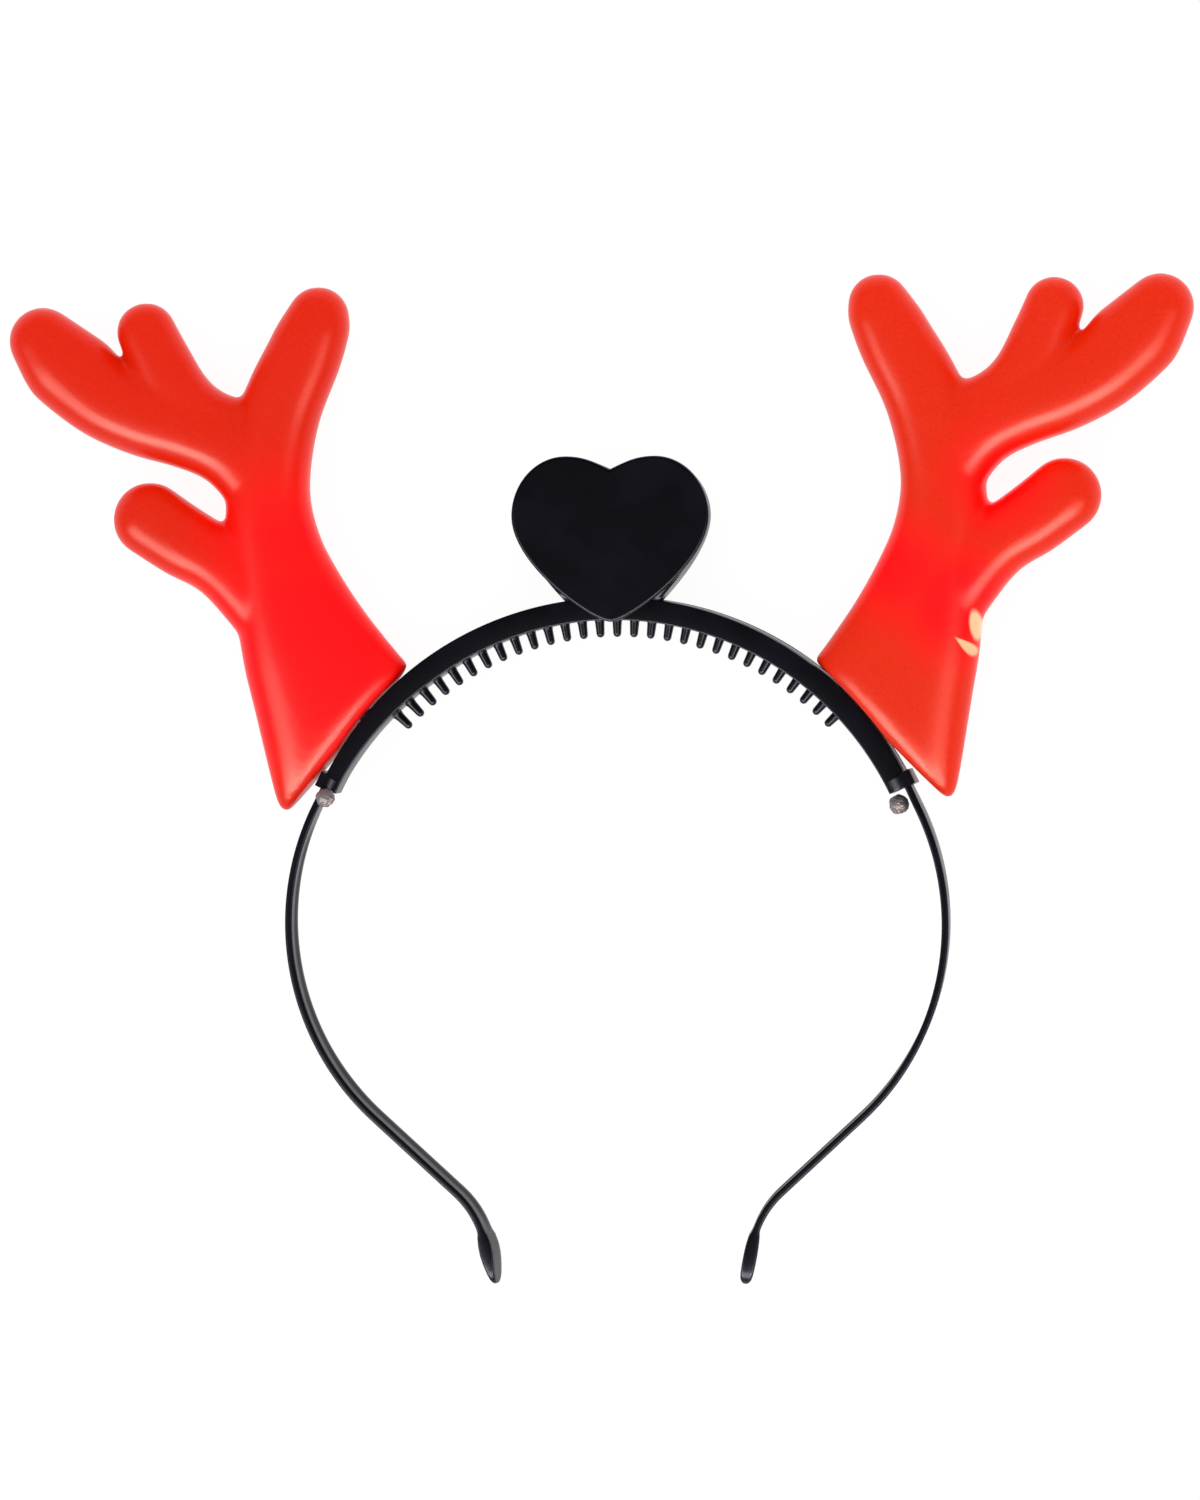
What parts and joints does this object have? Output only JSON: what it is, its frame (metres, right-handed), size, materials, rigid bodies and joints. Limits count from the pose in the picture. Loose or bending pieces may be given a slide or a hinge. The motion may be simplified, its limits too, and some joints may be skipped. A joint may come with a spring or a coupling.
{
  "type": "costume headband",
  "caption": "Soft branched antlers and a heart-shaped cell box on the arch of a comb-toothed plastic headband, with a lamp inside each antler.",
  "frame": {"origin": "on the surface that the headband lies on, under the middle of its bounding box", "axes": "+X to the right as seen from the front, +Y from the tips of the band up to the antlers, +Z out of the front"},
  "size_m": [0.2182, 0.1836, 0.0161],
  "materials": {
    "black_plastic": "satin moulded",
    "red_soft_plastic": "soft satin PVC",
    "lamp_lens": "clear resin",
    "grey_glue": "rough set glue"
  },
  "bodies": {
    "root": {"band": "black_plastic", "comb_channel": "black_plastic", "heart_case": "black_plastic", "heart_cover": "black_plastic", "antler_left": "red_soft_plastic", "antler_right": "red_soft_plastic", "lamp_post_left": "black_plastic", "lamp_post_right": "black_plastic", "lamp_left": "lamp_lens", "lamp_right": "lamp_lens", "glue_blob_left": "grey_glue", "glue_blob_right": "grey_glue"}
  },
  "joints": []
}
